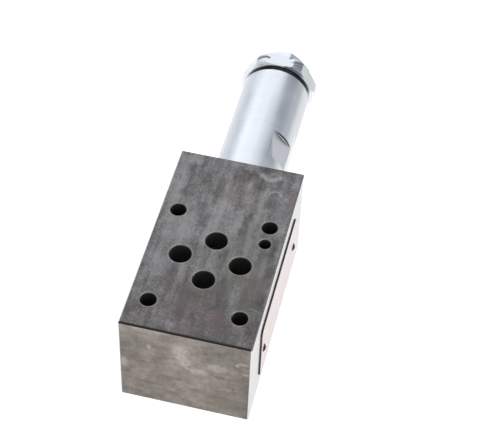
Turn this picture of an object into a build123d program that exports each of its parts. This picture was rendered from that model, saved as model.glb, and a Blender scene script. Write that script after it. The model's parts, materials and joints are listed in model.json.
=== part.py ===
from build123d import *
import os
from math import radians, sqrt, tan

# Hydraulic sandwich valve: a relief valve cartridge screwed into a ported block.
# Millimetres, +Z up. The origin is the centre of the four mounting holes, on the underside.
# +X runs along the cartridge, from the block towards the adjusting screw.

# Block
block_length = 80.0
block_width = 45.0
block_height = 40.0
plain_end_x = -32.0
block_edge_chamfer = 0.4
hole_edge_chamfer = 0.3

# Mounting holes: two rows of two, at the spacings that the port pattern's standard sets
bolt_spacing_x = 40.5
plain_end_bolt_spacing_y = 31.0
cartridge_end_bolt_spacing_y = 32.5
bolt_hole_radius = 2.7

# Ports straight through the block, with seal recesses on the underside
port_radius = 3.75
port_a_x = -7.55
port_b_x = 9.95
pressure_and_tank_x = 1.25
pressure_and_tank_y = 10.4
port_recess_radius = 6.35
port_recess_depth = 1.35
port_seal_width = 1.9

# Locating pin: a wide hole on top for the next unit's pin, a tight one below for this unit's
pin_hole_x = 12.75
pin_hole_y = -16.25
pin_hole_radius = 2.0
pin_hole_depth = 6.0
pin_seat_radius = 1.5
pin_seat_depth = 5.0

# Label plate and its drive rivets, on the -Y side
plate_length = 53.0
plate_height = 25.5
plate_thickness = 0.7
plate_corner_radius = 2.5
plate_centre_x = 7.7
plate_centre_z = 20.0
rivet_spacing = 45.8
rivet_head_radius = 1.5
rivet_head_height = 0.7
rivet_shank_radius = 0.9
rivet_shank_length = 4.0
rivet_hole_end_gap = 1.0

# Cartridge axis, threads and fits
axis_height = 20.0
main_thread_diameter = 22.0
main_thread_pitch = 1.5
cage_thread_diameter = 16.0
cage_thread_pitch = 1.0
screw_thread_diameter = 12.0
screw_thread_pitch = 1.5
pitch_radius_drop = 0.3248
thread_lead = 0.6
running_clearance = 0.05
guide_clearance = 0.04
static_fit = 0.03
seat_clearance = 0.02

# Cartridge cavity, as depths below the block's end face
cavity_depth = 30.5
nose_bore_depth = 21.0
nose_bore_radius = 6.0
main_bore_depth = 11.5
main_bore_radius = 9.0
tank_groove_depth = 16.0
tank_groove_width = 6.0
tank_groove_radius = 10.5
mouth_seal_radius = 12.0
mouth_seal_depth = 1.8

# Slanted galleries, drilled through the cavity's mouth
gallery_radius = 2.0
pressure_gallery_offset = 4.0
tank_gallery_offset = 7.0

# Seat cage
cage_floor_gap = 1.0
cage_step_gap = 0.2
cage_shank_length = 9.5
cage_chamfer = 0.4
pressure_channel_length = 8.5
seat_radius = 3.0
guide_radius = 5.0
cage_groove_offset = 2.1
cage_groove_width = 4.8
cage_groove_radius = 4.25
backup_ring_width = 1.4
tank_port_count = 4
tank_port_radius = 2.0
tank_port_turn = 45.0

# Poppet
poppet_tip_radius = 1.4
poppet_head_radius = 4.2
poppet_head_length = 1.8
poppet_neck_radius = 2.6
poppet_land_length = 7.5
poppet_land_gap = 0.5
poppet_stem_radius = 3.4
poppet_spigot_radius = 2.5
poppet_spigot_length = 4.0
oil_groove_count = 3
oil_groove_spacing = 1.8
oil_groove_width = 0.4
oil_groove_depth = 0.3
damping_hole_radius = 0.6
damping_hole_offset = 4.0

# Spring plate on the poppet, spring, and spring carrier at the screw
plate_gap = 0.5
spring_plate_radius = 8.4
spring_plate_thickness = 3.0
spring_boss_radius = 5.2
spring_boss_length = 3.0
spring_wire_radius = 1.4
spring_mean_radius = 6.9
spring_pitch = 5.1
carrier_radius = 8.7
carrier_thickness = 4.0
carrier_stop_gap = 0.2
carrier_dimple_depth = 1.0
spring_part_chamfer = 0.5

# Spring sleeve, with two wrench flats
sleeve_radius = 13.0
sleeve_length = 57.3
sleeve_edge_chamfer = 0.4
sleeve_nose_gap = 0.5
chamber_radius = 9.0
chamber_start = 0.5
undercut_radius = 9.9
undercut_length = 2.4
wrench_flat_width = 24.0
wrench_flat_start = 14.0
wrench_flat_length = 12.5
wrench_flat_turn = 140.0

# Hexagon cap that closes the sleeve, with its seal showing in the gap
cap_thread_length = 10.0
cap_pilot_length = 7.0
cap_smooth_bore_length = 11.3
cap_neck_radius = 9.6
cap_gap = 1.7
cap_seal_radius = 12.1
cap_seal_seat_depth = 1.1
cap_hex_width = 27.0
cap_hex_length = 6.4
cap_corner_radius = 14.6
hex_chamfer_angle = 30.0
hex_face_share = 0.95
hex_back_share = 0.98

# Adjusting screw, its seal and its lock nut
screw_inward_travel = 4.5
screw_outward_travel = 3.0
screw_nose_radius = 4.98
screw_seal_margin = 0.3
screw_groove_width = 2.4
screw_groove_radius = 3.6
screw_overhang = 3.5
screw_chamfer = 0.8
socket_width = 6.0
socket_depth = 7.0
lock_nut_width = 19.0
lock_nut_height = 6.0
lock_nut_turn = 45.0
lock_nut_countersink = 0.5

# Worked out: radii of the threads, which are plain cylinders at the pitch radius
main_thread_radius = main_thread_diameter / 2 - pitch_radius_drop * main_thread_pitch
cage_thread_radius = cage_thread_diameter / 2 - pitch_radius_drop * cage_thread_pitch
screw_thread_radius = screw_thread_diameter / 2 - pitch_radius_drop * screw_thread_pitch

# Worked out: places along the cartridge axis, from the block's end face outwards
cage_start = cage_floor_gap - cavity_depth
seat_place = cage_start + pressure_channel_length
cage_step = cage_step_gap - nose_bore_depth
sleeve_nose = sleeve_nose_gap - main_bore_depth
cage_end = sleeve_nose + cage_shank_length
spring_plate_start = chamber_start + plate_gap
spring_start = spring_plate_start + spring_plate_thickness
cap_hex_start = sleeve_length + cap_gap
cap_end = cap_hex_start + cap_hex_length
cap_thread_end = sleeve_length - cap_seal_seat_depth
cap_thread_start = cap_thread_end - cap_thread_length
cap_start = cap_thread_start - cap_pilot_length
carrier_end = cap_start - screw_outward_travel - carrier_stop_gap
spring_end = carrier_end - carrier_thickness
screw_start = carrier_end - carrier_dimple_depth + seat_clearance
screw_thread_start = cap_start + cap_smooth_bore_length + screw_inward_travel
nut_start = cap_end + seat_clearance
nut_end = nut_start + lock_nut_height
screw_end = nut_end + screw_overhang

# Worked out: places in the block's frame
block_face_x = plain_end_x + block_length
side_y = block_width / 2


def on_cartridge_axis(solid):
    """Move a piece that was made about the X axis into the block's frame."""
    return Pos(block_face_x, 0, axis_height) * solid


def turned(*outline):
    """A solid of revolution about X, from (place, radius) points."""
    return revolve(make_face(Polyline(*outline, close=True)), Axis.X)


def rod(radius, start, end):
    """A cylinder along X."""
    return extrude(Plane.YZ.offset(start) * Circle(radius), end - start)


def hex_bar(width, start, end, turn=0.0):
    """A hexagon bar along X, given by its width across flats. Turn 0 puts one flat on top."""
    outline = RegularPolygon(width / 2, 6, major_radius=False)
    return extrude(Plane.YZ.offset(start) * Rot(0, 0, turn) * outline, end - start)


def ring(inner, outer, start, end, rounding=0.45):
    """A seal ring about X. Rounding is the corner radius as a share of its thinner side."""
    width = end - start
    depth = outer - inner
    section = Rectangle(width, depth)
    if rounding:
        section = RectangleRounded(width, depth, rounding * min(width, depth))
    return revolve(Pos((start + end) / 2, (inner + outer) / 2) * section, Axis.X)


def drilling(first, last, radius):
    """A round hole from one point to another."""
    start = Vector(*first)
    run = Vector(*last) - start
    return extrude(Plane(origin=start, z_dir=run) * Circle(radius), run.length)


def upright_hole(x, y, radius, bottom, top):
    """A round hole along Z."""
    return extrude(Plane.XY.offset(bottom) * Pos(x, y) * Circle(radius), top - bottom)


def bolt_places():
    """Centres of the four mounting holes."""
    spacings = {-1: plain_end_bolt_spacing_y, 1: cartridge_end_bolt_spacing_y}
    places = []
    for end, spacing in spacings.items():
        for side in (-1, 1):
            places.append((end * bolt_spacing_x / 2, side * spacing / 2))
    return places


def port_places():
    """Centres of the four ports, by name."""
    return {
        "p": (pressure_and_tank_x, -pressure_and_tank_y),
        "t": (pressure_and_tank_x, pressure_and_tank_y),
        "a": (port_a_x, 0.0),
        "b": (port_b_x, 0.0),
    }


def rivet_places():
    """Distances along X of the two rivets."""
    return [plate_centre_x + side * rivet_spacing / 2 for side in (-1, 1)]


def cartridge_cavity():
    """The stepped hole that takes the cartridge, about the X axis."""
    groove_start = -tank_groove_depth - tank_groove_width / 2
    return turned(
        (-cavity_depth, 0),
        (-cavity_depth, nose_bore_radius),
        (-nose_bore_depth, nose_bore_radius),
        (-nose_bore_depth, main_bore_radius),
        (groove_start, main_bore_radius),
        (groove_start, tank_groove_radius),
        (groove_start + tank_groove_width, tank_groove_radius),
        (groove_start + tank_groove_width, main_bore_radius),
        (-main_bore_depth, main_bore_radius),
        (-main_bore_depth, main_thread_radius),
        (-mouth_seal_depth, main_thread_radius),
        (-mouth_seal_depth, mouth_seal_radius),
        (0, mouth_seal_radius),
        (0, 0),
    )


def galleries():
    """Slanted holes that join the cavity to the pressure and tank ports."""
    ports = port_places()
    floor = (block_face_x - cavity_depth, -pressure_gallery_offset, axis_height)
    mouth = (block_face_x, tank_gallery_offset, axis_height)
    pressure = drilling((*ports["p"], axis_height), floor, gallery_radius)
    tank = drilling((*ports["t"], axis_height), mouth, gallery_radius)
    return pressure + tank


def valve_block():
    """Ported block: mounting holes, ports, pin holes, cartridge cavity and galleries."""
    centre_x = plain_end_x + block_length / 2
    block = Pos(centre_x, 0, block_height / 2) * Box(block_length, block_width, block_height)
    block = chamfer(block.edges(), block_edge_chamfer)
    for x, y in bolt_places():
        block -= upright_hole(x, y, bolt_hole_radius, 0, block_height)
    for x, y in port_places().values():
        block -= upright_hole(x, y, port_radius, 0, block_height)
        block -= upright_hole(x, y, port_recess_radius, 0, port_recess_depth)
    pin_hole_floor = block_height - pin_hole_depth
    block -= upright_hole(pin_hole_x, pin_hole_y, pin_hole_radius, pin_hole_floor, block_height)
    block -= upright_hole(pin_hole_x, pin_hole_y, pin_seat_radius, 0, pin_seat_depth)
    for level in (0, block_height):
        rims = block.edges().filter_by(GeomType.CIRCLE).filter_by_position(Axis.Z, level, level)
        block = chamfer(rims, hole_edge_chamfer)
    block -= on_cartridge_axis(cartridge_cavity())
    block -= galleries()
    rivet_hole_depth = rivet_shank_length + rivet_hole_end_gap
    for x in rivet_places():
        start = (x, -side_y, plate_centre_z)
        block -= drilling(start, (x, rivet_hole_depth - side_y, plate_centre_z), rivet_shank_radius)
    return block


def port_seal(x, y):
    """Seal ring in a recess of the underside, squeezed flush as when the valve is mounted."""
    outer = port_recess_radius - seat_clearance
    height = port_recess_depth - seat_clearance
    return Pos(x, y) * Rot(0, -90, 0) * ring(outer - port_seal_width, outer, seat_clearance, height)


def label_plate():
    """Bare plate with rounded corners on the -Y side."""
    face = Plane.XZ.offset(side_y)
    outline = RectangleRounded(plate_length, plate_height, plate_corner_radius)
    plate = extrude(face * Pos(plate_centre_x, plate_centre_z) * outline, plate_thickness)
    for x in rivet_places():
        hole = face * Pos(x, plate_centre_z) * Circle(rivet_shank_radius)
        plate -= extrude(hole, plate_thickness)
    return plate


def label_rivet(x):
    """Drive rivet: a low dome on a short shank."""
    shank_end = -plate_thickness - rivet_shank_length
    outline = Polyline(
        (rivet_head_height, 0),
        (shank_end, 0),
        (shank_end, rivet_shank_radius),
        (0, rivet_shank_radius),
        (0, rivet_head_radius),
    )
    crown = RadiusArc(
        (0, rivet_head_radius),
        (rivet_head_height, 0),
        (rivet_head_radius**2 + rivet_head_height**2) / (2 * rivet_head_height),
    )
    rivet = revolve(make_face(outline + crown), Axis.X)
    return Pos(x, -side_y - plate_thickness, plate_centre_z) * Rot(0, 0, -90) * rivet


def seat_cage():
    """Cage that holds the seat, guides the poppet and lets oil out to the tank groove."""
    nose_radius = nose_bore_radius - static_fit
    body_radius = main_bore_radius - static_fit
    groove_start = cage_start + cage_groove_offset
    groove_end = groove_start + cage_groove_width
    cage = turned(
        (cage_start, seat_radius + cage_chamfer),
        (cage_start, nose_radius - cage_chamfer),
        (cage_start + cage_chamfer, nose_radius),
        (groove_start, nose_radius),
        (groove_start, cage_groove_radius),
        (groove_end, cage_groove_radius),
        (groove_end, nose_radius),
        (cage_step, nose_radius),
        (cage_step, body_radius - cage_chamfer),
        (cage_step + cage_chamfer, body_radius),
        (sleeve_nose, body_radius),
        (sleeve_nose, cage_thread_radius),
        (cage_end - thread_lead, cage_thread_radius),
        (cage_end, cage_thread_radius - thread_lead),
        (cage_end, guide_radius),
        (seat_place, guide_radius),
        (seat_place, seat_radius),
        (cage_start + cage_chamfer, seat_radius),
    )
    for index in range(tank_port_count):
        turn = tank_port_turn + index * 360 / tank_port_count
        port = Pos(-tank_groove_depth, 0, 0) * Cylinder(
            tank_port_radius, 2 * main_bore_radius, align=(Align.CENTER, Align.CENTER, Align.MIN)
        )
        cage -= Rot(turn, 0, 0) * port
    return cage


def cage_seals():
    """Seal ring between two backup rings, in the groove of the cage's nose."""
    groove_start = cage_start + cage_groove_offset
    groove_end = groove_start + cage_groove_width
    front_end = groove_start + backup_ring_width
    rear_start = groove_end - backup_ring_width
    inner = cage_groove_radius
    outer = nose_bore_radius
    return {
        "cage_backup_ring_front": ring(inner, outer, groove_start, front_end, 0),
        "cage_seal_ring": ring(inner, outer, front_end, rear_start),
        "cage_backup_ring_rear": ring(inner, outer, rear_start, groove_end, 0),
    }


def poppet():
    """Cone that closes the seat, with a guide land that damps it and a spigot for its plate."""
    contact = seat_place + seat_clearance
    head_start = contact + poppet_head_radius - seat_radius
    head_end = head_start + poppet_head_length
    land_radius = guide_radius - guide_clearance
    land_end = cage_end - poppet_land_gap
    land_start = land_end - poppet_land_length
    solid = turned(
        (contact + poppet_tip_radius - seat_radius, 0),
        (contact + poppet_tip_radius - seat_radius, poppet_tip_radius),
        (head_start, poppet_head_radius),
        (head_end, poppet_head_radius),
        (head_end + poppet_head_radius - poppet_neck_radius, poppet_neck_radius),
        (land_start - land_radius + poppet_neck_radius, poppet_neck_radius),
        (land_start, land_radius),
        (land_end, land_radius),
        (land_end, poppet_stem_radius),
        (spring_plate_start, poppet_stem_radius),
        (spring_plate_start, poppet_spigot_radius),
        (spring_plate_start + poppet_spigot_length, poppet_spigot_radius),
        (spring_plate_start + poppet_spigot_length, 0),
    )
    land_middle = (land_start + land_end) / 2
    for index in range(oil_groove_count):
        place = land_middle + (index - (oil_groove_count - 1) / 2) * oil_groove_spacing
        start = place - oil_groove_width / 2
        solid -= ring(land_radius - oil_groove_depth, guide_radius, start, start + oil_groove_width, 0)
    damping_hole = rod(damping_hole_radius, land_start - poppet_land_length, land_end)
    return solid - Pos(0, damping_hole_offset, 0) * damping_hole


def spring_plate():
    """Plate on the poppet's spigot that the spring bears on."""
    return turned(
        (spring_plate_start, poppet_spigot_radius),
        (spring_plate_start, spring_plate_radius - spring_part_chamfer),
        (spring_plate_start + spring_part_chamfer, spring_plate_radius),
        (spring_start, spring_plate_radius),
        (spring_start, spring_boss_radius),
        (spring_start + spring_boss_length - spring_part_chamfer, spring_boss_radius),
        (spring_start + spring_boss_length, spring_boss_radius - spring_part_chamfer),
        (spring_start + spring_boss_length, poppet_spigot_radius),
    )


def control_spring():
    """Coil spring with ends ground flat."""
    length = spring_end - spring_start
    path = Helix(spring_pitch, length, spring_mean_radius, center=(spring_start, 0, 0), direction=(1, 0, 0))
    section = Plane(origin=path @ 0, z_dir=path % 0) * Circle(spring_wire_radius)
    coil = sweep(section, path, is_frenet=True)
    return coil & rod(spring_mean_radius + 2 * spring_wire_radius, spring_start, spring_end)


def spring_carrier():
    """Plate between the spring and the adjusting screw, dimpled for the screw's nose."""
    dimple_radius = screw_nose_radius + running_clearance
    return turned(
        (spring_end - spring_boss_length, 0),
        (spring_end - spring_boss_length, spring_boss_radius - spring_part_chamfer),
        (spring_end - spring_boss_length + spring_part_chamfer, spring_boss_radius),
        (spring_end, spring_boss_radius),
        (spring_end, carrier_radius),
        (carrier_end - spring_part_chamfer, carrier_radius),
        (carrier_end, carrier_radius - spring_part_chamfer),
        (carrier_end, dimple_radius),
        (carrier_end - carrier_dimple_depth, dimple_radius),
        (carrier_end - carrier_dimple_depth, 0),
    )


def spring_sleeve():
    """Sleeve that screws into the block and holds the cage, the spring and the cap."""
    cap_seat_radius = cap_seal_radius + running_clearance
    sleeve = turned(
        (sleeve_nose, cage_thread_radius),
        (sleeve_nose, main_thread_radius - thread_lead),
        (sleeve_nose + thread_lead, main_thread_radius),
        (-undercut_length, main_thread_radius),
        (-undercut_length, undercut_radius),
        (0, undercut_radius),
        (0, sleeve_radius - sleeve_edge_chamfer),
        (sleeve_edge_chamfer, sleeve_radius),
        (sleeve_length - sleeve_edge_chamfer, sleeve_radius),
        (sleeve_length, sleeve_radius - sleeve_edge_chamfer),
        (sleeve_length, cap_seat_radius),
        (cap_thread_end, cap_seat_radius),
        (cap_thread_end, main_thread_radius),
        (cap_thread_start, main_thread_radius),
        (cap_thread_start, chamber_radius),
        (chamber_start, chamber_radius),
        (chamber_start, cage_thread_radius),
    )
    for side in (0, 180):
        waste = Box(
            wrench_flat_length,
            sleeve_radius,
            2 * sleeve_radius,
            align=(Align.MIN, Align.MIN, Align.CENTER),
        )
        place = Pos(wrench_flat_start, wrench_flat_width / 2, 0)
        sleeve -= Rot(wrench_flat_turn + side, 0, 0) * place * waste
    return sleeve


def sleeve_seal():
    """Seal ring under the sleeve's shoulder, in the cavity's mouth."""
    start = seat_clearance - mouth_seal_depth
    return ring(undercut_radius, mouth_seal_radius, start, -seat_clearance)


def hex_cap():
    """Hexagon cap: pilot, thread, seal neck and head chamfered on both sides, bored and threaded."""
    pilot_radius = chamber_radius - running_clearance
    bore_radius = screw_nose_radius + running_clearance
    bore_end = cap_start + cap_smooth_bore_length
    female_radius = screw_thread_radius + running_clearance
    body = turned(
        (cap_start, bore_radius),
        (cap_start, pilot_radius - cage_chamfer),
        (cap_start + cage_chamfer, pilot_radius),
        (cap_thread_start, pilot_radius),
        (cap_thread_start, main_thread_radius),
        (cap_thread_end, main_thread_radius),
        (cap_thread_end, cap_neck_radius),
        (cap_hex_start, cap_neck_radius),
        (cap_hex_start, female_radius),
        (bore_end, female_radius),
        (bore_end, bore_radius),
    )
    slope = tan(radians(hex_chamfer_angle))
    back_radius = hex_back_share * cap_hex_width / 2
    back_chamfer_length = (cap_corner_radius - back_radius) * slope
    face_radius = hex_face_share * cap_hex_width / 2
    chamfer_length = (cap_corner_radius - face_radius) * slope
    envelope = turned(
        (cap_hex_start, female_radius),
        (cap_hex_start, back_radius),
        (cap_hex_start + back_chamfer_length, cap_corner_radius),
        (cap_end - chamfer_length, cap_corner_radius),
        (cap_end, face_radius),
        (cap_end, female_radius),
    )
    return body + (envelope & hex_bar(cap_hex_width, cap_hex_start, cap_end))


def cap_seal():
    """Seal ring between the sleeve's end and the cap's hexagon."""
    return ring(cap_neck_radius, cap_seal_radius, cap_thread_end + seat_clearance, cap_hex_start)


def adjusting_screw():
    """Screw with a sealed nose, a thread for the cap and nut, and a hexagon socket."""
    groove_start = cap_start + screw_inward_travel + screw_seal_margin
    groove_end = groove_start + screw_groove_width
    screw = turned(
        (screw_start, 0),
        (screw_start, screw_nose_radius - screw_chamfer / 2),
        (screw_start + screw_chamfer / 2, screw_nose_radius),
        (groove_start, screw_nose_radius),
        (groove_start, screw_groove_radius),
        (groove_end, screw_groove_radius),
        (groove_end, screw_nose_radius),
        (screw_thread_start, screw_nose_radius),
        (screw_thread_start, screw_thread_radius),
        (screw_end - screw_chamfer, screw_thread_radius),
        (screw_end, screw_thread_radius - screw_chamfer),
        (screw_end, 0),
    )
    socket_floor = screw_end - socket_depth
    drill_radius = socket_width / 2
    drill_tip = turned(
        (socket_floor, 0),
        (socket_floor, drill_radius),
        (socket_floor - drill_radius * tan(radians(hex_chamfer_angle)), 0),
    )
    return screw - hex_bar(socket_width, socket_floor, screw_end) - drill_tip


def adjuster_seal():
    """Seal ring in the screw's nose groove."""
    start = cap_start + screw_inward_travel + screw_seal_margin + seat_clearance
    end = start + screw_groove_width - 2 * seat_clearance
    return ring(screw_groove_radius, screw_nose_radius + seat_clearance, start, end)


def lock_nut():
    """Hexagon nut, chamfered on both faces and countersunk at both mouths."""
    bore_radius = screw_thread_radius + running_clearance
    mouth_radius = bore_radius + lock_nut_countersink
    corner_radius = lock_nut_width / sqrt(3)
    face_radius = hex_face_share * lock_nut_width / 2
    chamfer_length = (corner_radius - face_radius) * tan(radians(hex_chamfer_angle))
    envelope = turned(
        (nut_start, mouth_radius),
        (nut_start, face_radius),
        (nut_start + chamfer_length, corner_radius),
        (nut_end - chamfer_length, corner_radius),
        (nut_end, face_radius),
        (nut_end, mouth_radius),
        (nut_end - lock_nut_countersink, bore_radius),
        (nut_start + lock_nut_countersink, bore_radius),
    )
    return envelope & hex_bar(lock_nut_width, nut_start, nut_end, lock_nut_turn)


def block_pieces():
    """Pieces made in the block's frame."""
    pieces = {"valve_block": valve_block(), "label_plate": label_plate()}
    for name, x in zip(("plain_end", "cartridge_end"), rivet_places()):
        pieces["label_rivet_" + name] = label_rivet(x)
    for name, place in port_places().items():
        pieces["port_seal_" + name] = port_seal(*place)
    return pieces


def cartridge_pieces():
    """Pieces made about the X axis."""
    pieces = {
        "spring_sleeve": spring_sleeve(),
        "sleeve_seal_ring": sleeve_seal(),
        "seat_cage": seat_cage(),
        "poppet": poppet(),
        "spring_plate": spring_plate(),
        "control_spring": control_spring(),
        "spring_carrier": spring_carrier(),
        "hex_cap": hex_cap(),
        "cap_seal_ring": cap_seal(),
        "adjusting_screw": adjusting_screw(),
        "adjuster_seal_ring": adjuster_seal(),
        "lock_nut": lock_nut(),
    }
    pieces.update(cage_seals())
    return pieces


os.makedirs("parts", exist_ok=True)
for node, solid in block_pieces().items():
    export_step(solid, f"parts/{node}.step")
for node, solid in cartridge_pieces().items():
    export_step(on_cartridge_axis(solid), f"parts/{node}.step")

turns_inwards = screw_inward_travel / screw_thread_pitch
turns_outwards = screw_outward_travel / screw_thread_pitch
print("Screw turns inwards and outwards:", turns_inwards, turns_outwards)
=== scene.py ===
import bmesh
import bpy
import json
from math import cos, pi, radians, sin, tan
from mathutils import Euler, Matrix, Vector


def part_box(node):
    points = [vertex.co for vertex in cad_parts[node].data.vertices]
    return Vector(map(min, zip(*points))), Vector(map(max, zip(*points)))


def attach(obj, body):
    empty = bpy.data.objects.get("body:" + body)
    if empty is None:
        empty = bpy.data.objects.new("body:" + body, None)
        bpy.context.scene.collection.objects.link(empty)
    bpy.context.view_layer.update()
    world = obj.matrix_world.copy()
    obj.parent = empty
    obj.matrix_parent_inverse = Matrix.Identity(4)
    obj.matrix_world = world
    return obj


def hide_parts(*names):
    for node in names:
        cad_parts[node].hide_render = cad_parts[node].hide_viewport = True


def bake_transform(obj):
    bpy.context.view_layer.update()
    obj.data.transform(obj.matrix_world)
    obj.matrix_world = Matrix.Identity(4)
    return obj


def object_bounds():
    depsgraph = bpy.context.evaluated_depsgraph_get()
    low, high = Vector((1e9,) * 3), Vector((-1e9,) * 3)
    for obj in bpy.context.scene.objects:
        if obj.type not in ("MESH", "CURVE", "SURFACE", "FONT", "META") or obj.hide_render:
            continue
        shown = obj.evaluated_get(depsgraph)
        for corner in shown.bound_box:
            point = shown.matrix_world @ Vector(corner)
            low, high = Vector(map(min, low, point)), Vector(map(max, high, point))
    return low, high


# Looks of the hydraulic sandwich valve. Metres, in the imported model's own frame:
# +X along the cartridge, +Z up, origin under the block between its mounting holes.
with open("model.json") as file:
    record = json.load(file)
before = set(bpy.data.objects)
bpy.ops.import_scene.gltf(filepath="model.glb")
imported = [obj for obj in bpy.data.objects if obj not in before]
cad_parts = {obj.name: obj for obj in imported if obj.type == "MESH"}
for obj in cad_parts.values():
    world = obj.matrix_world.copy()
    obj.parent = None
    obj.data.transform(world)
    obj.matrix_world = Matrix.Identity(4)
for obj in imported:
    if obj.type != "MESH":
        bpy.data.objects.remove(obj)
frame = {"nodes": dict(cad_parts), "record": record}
cad_low, cad_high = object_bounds()
nodes = frame["nodes"]
MM = 0.001

# Camera, solved on the nine holes of the top face. Turns in degrees.
image_width = 484.0
focal_pixels = 1508.2
sensor_width = 36.0
camera_place = (-0.31247, -0.07526, 0.43200)
camera_tilt = 41.049
camera_roll = -1.700
camera_heading = -76.348
camera_near = 0.02
camera_far = 50.0

# Adjusting screw. Its crests stay inside the nut's plain bore. Leads start at its nose.
crest_radius = 5.54 * MM
thread_depth = 0.8 * MM
thread_pitch = 1.5 * MM
thread_lead = 20.0 * MM
rows_per_pitch = 14
nose_radius = 4.98 * MM
seal_groove_radius = 3.6 * MM
seal_groove_lead = 9.0 * MM
seal_groove_width = 2.4 * MM
screw_chamfer = 0.8 * MM
socket_width = 6.0 * MM
socket_depth = 7.0 * MM
socket_chamfer = 0.35 * MM
drill_point = radians(30.0)
steps_round = 72
sharp_angle = radians(32.0)

# Flanks of its thread: how many times its depth they would rise over half a pitch,
# and how much of that the flat root takes
flank_rise = 2.3
root_cut = 0.55

# Control spring: how far from its poppet end it is cut in two
spring_front_length = 8.0 * MM
weld_distance = 0.001 * MM

# Places on the cartridge for the marks on it, in millimetres
sleeve_radius = 13.0
flat_turn = radians(50.0)
flat_distance = 12.0
flat_middle = 68.25
flat_half_length = 6.25
flat_end = flat_middle + flat_half_length
cap_start = 107.0
corner_radius = 14.6
groove_pitch = 1.5
groove_skew = 0.12

# Studio
world_colour = (0.93, 1.0, 1.10)
world_level = 0.33
floor_half_size = 8.0
floor_grey = 0.86
floor_roughness = 0.9
floor_lift_seen = 0.72
floor_lift_mirrored = 0.50

# Softboxes: azimuth from +X towards +Y, elevation, width, height and radiance
lamp_distance = 1.3
softboxes = {
    "overhead_softbox": (22.0, 56.0, 1.7, 1.5, 0.90),
    "left_softbox": (52.0, 24.0, 1.2, 0.5, 0.66),
    "right_softbox": (-108.0, 22.0, 1.6, 0.9, 1.42),
    "rear_softbox": (180.0, 30.0, 1.2, 0.6, 0.55),
}

# Share of its reach that a spot fades over
spot_softness = 0.7

# Spots on the block's top face, each as a middle and a reach, along Y and X in millimetres
light_spots = (
    ((0.5, 22.0), (6.0, 16.0)),
    ((-11.4, 30.0), (1.9, 12.0)),
    ((-10.6, 4.0), (1.8, 14.0)),
    ((-11.0, -11.0), (2.0, 8.0)),
    ((19.5, 30.0), (4.0, 18.0)),
    ((14.5, 12.0), (9.0, 8.0)),
    ((5.0, 11.0), (3.5, 7.0)),
    ((-4.5, 20.0), (3.0, 7.0)),
    ((16.0, 45.0), (5.0, 3.0)),
    ((7.0, -29.0), (4.5, 3.0)),
)
dark_spots = (
    ((-8.0, 19.0), (2.0, 15.0)),
    ((-6.8, -11.0), (2.6, 12.0)),
    ((10.0, 36.0), (4.0, 7.0)),
    ((5.0, 33.0), (3.0, 9.0)),
    ((-3.0, 41.5), (8.0, 4.0)),
    ((-3.2, 2.0), (3.4, 7.0)),
    ((-9.0, 39.0), (3.0, 4.0)),
    ((-18.0, 12.0), (4.5, 9.0)),
    ((-20.5, 2.0), (3.2, 9.0)),
    ((-20.0, -13.0), (3.2, 7.0)),
    ((-16.5, -10.0), (5.5, 11.0)),
    ((-19.5, -22.0), (3.0, 8.0)),
    ((2.0, -14.0), (5.5, 3.0)),
    ((-12.0, 47.0), (6.0, 2.5)),
)
reddish_spots = (
    ((0.5, -19.8), (11.0, 3.4)),
    ((-8.0, -24.0), (3.8, 6.5)),
    ((-18.0, -7.0), (5.0, 7.0)),
    ((-21.0, 34.0), (2.0, 8.0)),
)
greenish_spots = (
    ((-11.0, 2.0), (12.0, 26.0)),
    ((2.0, -14.0), (9.0, 5.0)),
)

# Spots on its plain end, along Y and Z
smudge_spots = (
    ((1.4, 30.8), (3.8, 6.2)),
    ((-0.2, 25.5), (3.6, 4.2)),
    ((-4.6, 22.3), (4.8, 2.4)),
    ((-11.4, 26.2), (5.2, 2.8)),
)
scuff_spots = (
    ((12.1, 30.3), (0.9, 1.9)),
    ((21.0, 19.0), (2.2, 3.8)),
    ((-17.8, 30.2), (0.9, 1.3)),
    ((-20.0, 31.3), (2.6, 1.0)),
    ((-20.8, 26.0), (1.8, 0.8)),
)
shaded_spots = (
    ((18.0, 29.0), (11.0, 11.0)),
    ((-15.0, 32.0), (13.0, 11.0)),
    ((-22.0, 18.0), (6.0, 26.0)),
    ((22.0, 14.0), (5.0, 16.0)),
    ((-17.5, 7.5), (8.0, 5.0)),
    ((-20.0, 34.0), (5.0, 8.0)),
    ((14.0, 8.0), (6.0, 4.0)),
    ((8.5, 25.0), (4.0, 6.0)),
)
stain_spots = (
    ((-11.5, 34.3), (2.8, 1.3)),
    ((-12.0, 21.4), (2.8, 0.9)),
    ((14.8, 21.4), (2.0, 0.9)),
    ((-17.0, 15.0), (1.1, 2.8)),
    ((-11.0, 9.8), (4.4, 1.4)),
    ((12.0, 10.0), (6.5, 1.2)),
)

# Colours of the block, linear. A tone multiplies the colour under it.
top_dark = (0.100, 0.093, 0.096)
top_light = (0.341, 0.330, 0.327)
top_dark_tone = (0.72, 0.71, 0.70)
top_lilac = (0.24, 0.225, 0.25)
top_reddish = (0.175, 0.125, 0.125)
top_greenish = (0.170, 0.170, 0.140)
top_yellowish = (0.31, 0.295, 0.255)
top_speck = (0.065, 0.060, 0.062)
top_large_ring = (0.48, 0.47, 0.48)
top_small_ring = (0.44, 0.43, 0.44)
top_rust = (0.27, 0.19, 0.15)
top_scratch = (0.36, 0.35, 0.34)
top_hole_rim = (0.40, 0.40, 0.36)
end_dark = (0.217, 0.182, 0.154)
end_light = (0.478, 0.420, 0.362)
end_lilac = (0.225, 0.205, 0.215)
end_olive = (0.225, 0.220, 0.180)
end_shaded_tone = (0.75, 0.76, 0.76)
end_smudge = (0.565, 0.515, 0.46)
end_scuff = (0.60, 0.56, 0.52)
end_worn_edge = (0.53, 0.49, 0.45)
side_dark = (0.82, 0.785, 0.765)
side_light = (0.93, 0.895, 0.875)
edge_bright = (0.80, 0.795, 0.785)
edge_grey = (0.25, 0.24, 0.24)
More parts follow.
